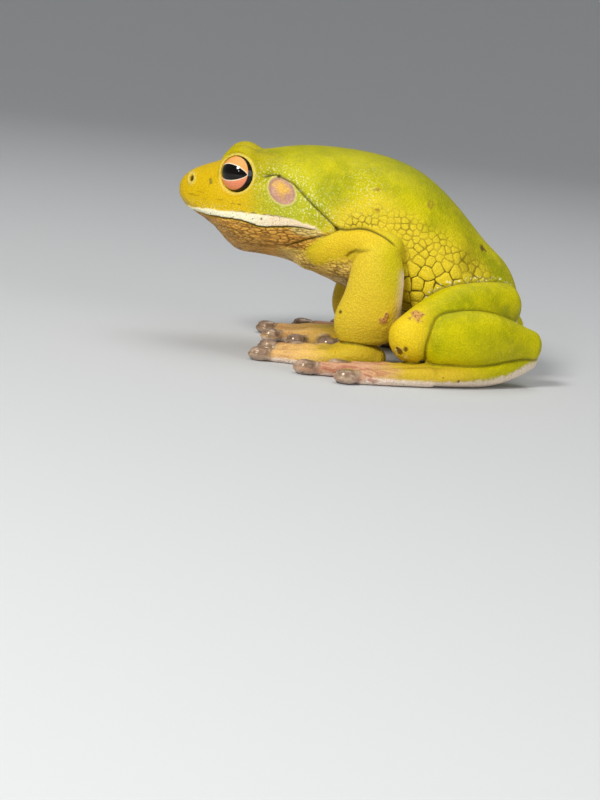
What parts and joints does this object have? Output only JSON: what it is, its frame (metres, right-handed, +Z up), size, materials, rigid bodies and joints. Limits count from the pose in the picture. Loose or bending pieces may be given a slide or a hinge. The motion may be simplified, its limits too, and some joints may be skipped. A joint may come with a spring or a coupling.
{
  "type": "white-lipped tree frog",
  "caption": "Life-size still model of a crouching white-lipped tree frog, green above with a pale lip, resting on its hands and feet.",
  "frame": {"origin": "on the floor, under the middle of the frog's bounding box", "axes": "+Z up, the frog faces -X, its left side is towards -Y"},
  "size_m": [0.1076, 0.1022, 0.0596],
  "materials": {
    "skin_head": "satin",
    "skin_throat": "satin",
    "skin_body": "satin",
    "skin_ear": "satin",
    "skin_foot": "satin",
    "eye": "gloss"
  },
  "bodies": {
    "root": {"head": "skin_head", "lower_jaw": "skin_throat", "torso": "skin_body", "eye_left": "eye", "eye_right": "eye", "tympanum_left": "skin_ear", "tympanum_right": "skin_ear", "upper_arm_left": "skin_body", "upper_arm_right": "skin_body", "forearm_left": "skin_body", "forearm_right": "skin_body", "hand_left": "skin_foot", "hand_right": "skin_foot", "thigh_left": "skin_body", "thigh_right": "skin_body", "shank_left": "skin_body", "shank_right": "skin_body", "foot_left": "skin_foot", "foot_right": "skin_foot"}
  },
  "joints": []
}
